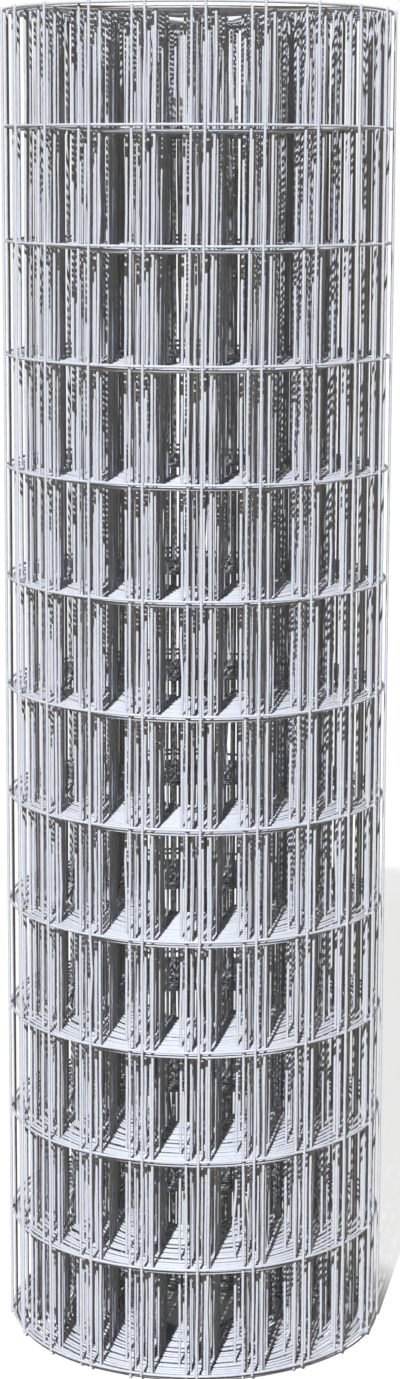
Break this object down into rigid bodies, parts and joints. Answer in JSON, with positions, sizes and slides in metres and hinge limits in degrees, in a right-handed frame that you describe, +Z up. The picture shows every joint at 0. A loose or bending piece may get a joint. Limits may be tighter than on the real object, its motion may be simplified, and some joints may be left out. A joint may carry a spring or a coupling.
{
  "type": "roll of wire fencing",
  "caption": "upright roll of galvanised welded wire mesh fencing, wound in a tight spiral around an open bore, standing on its end",
  "frame": {"origin": "on the axis of the bore, in the plane of the lower end that the roll stands on", "axes": "+Z is up along the bore and the stays, -Y is the side that the picture shows, +X is to the right in the picture"},
  "size_m": [0.358, 0.3608, 1.2242],
  "materials": {
    "galvanised_wire": "hot dipped zinc, bright grey with darker spangle, slightly rough"
  },
  "bodies": {
    "root": {"mesh_roll": "galvanised_wire"}
  },
  "joints": []
}
